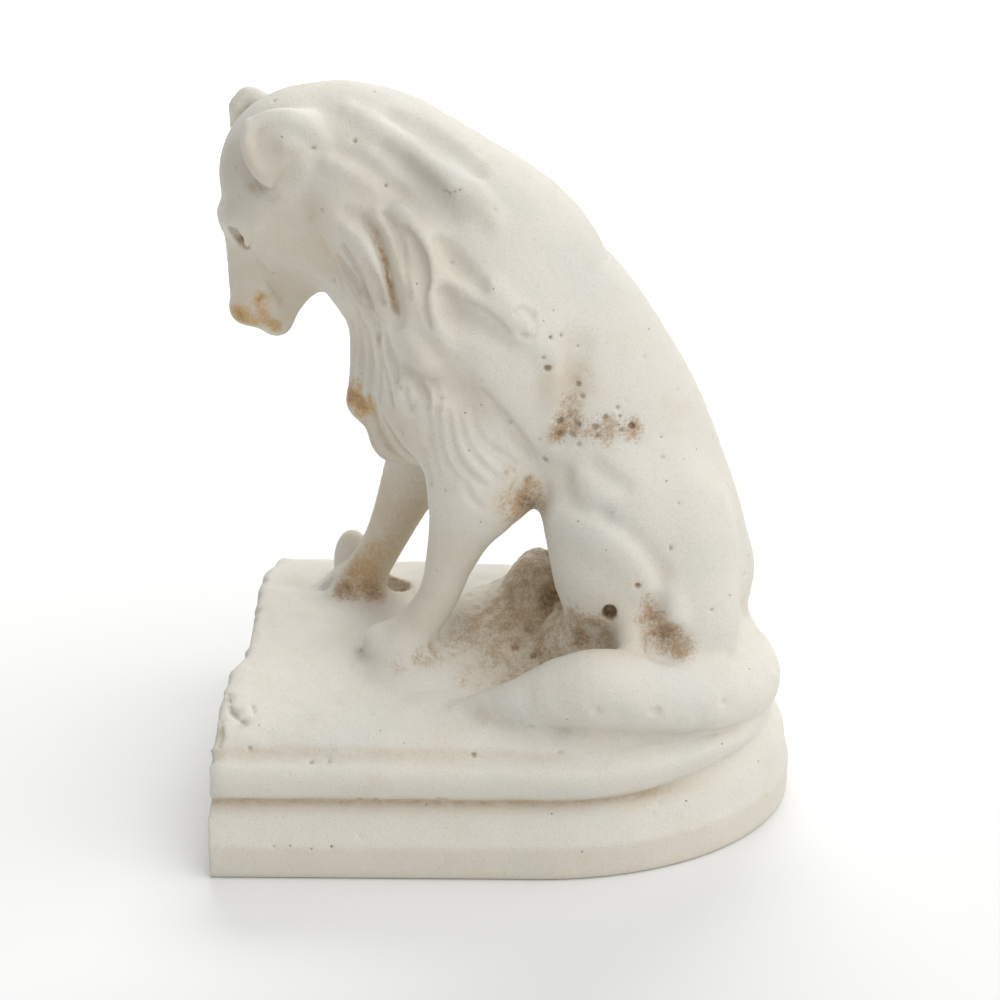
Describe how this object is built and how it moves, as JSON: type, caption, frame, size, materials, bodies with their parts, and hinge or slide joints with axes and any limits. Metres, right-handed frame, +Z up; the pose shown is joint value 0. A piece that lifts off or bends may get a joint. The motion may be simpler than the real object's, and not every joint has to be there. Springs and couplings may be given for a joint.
{
  "type": "dog bookend",
  "caption": "Bookend cast in pale stone: a seated long-haired dog with bowed head on a moulded plinth, flat at the book end and round behind.",
  "frame": {"origin": "middle of the underside of the plinth, at the bottom centre of the whole piece", "axes": "+Z up, -X towards the books and the way the dog faces, +X towards the round end behind the dog, -Y on the dog's left"},
  "size_m": [0.1252, 0.101, 0.1601],
  "materials": {
    "stone": "matt ivory cast stone with fine pores, bubble holes, ochre stains and brown dirt in the hollows"
  },
  "bodies": {
    "root": {"dog_bookend": "stone"}
  },
  "joints": []
}
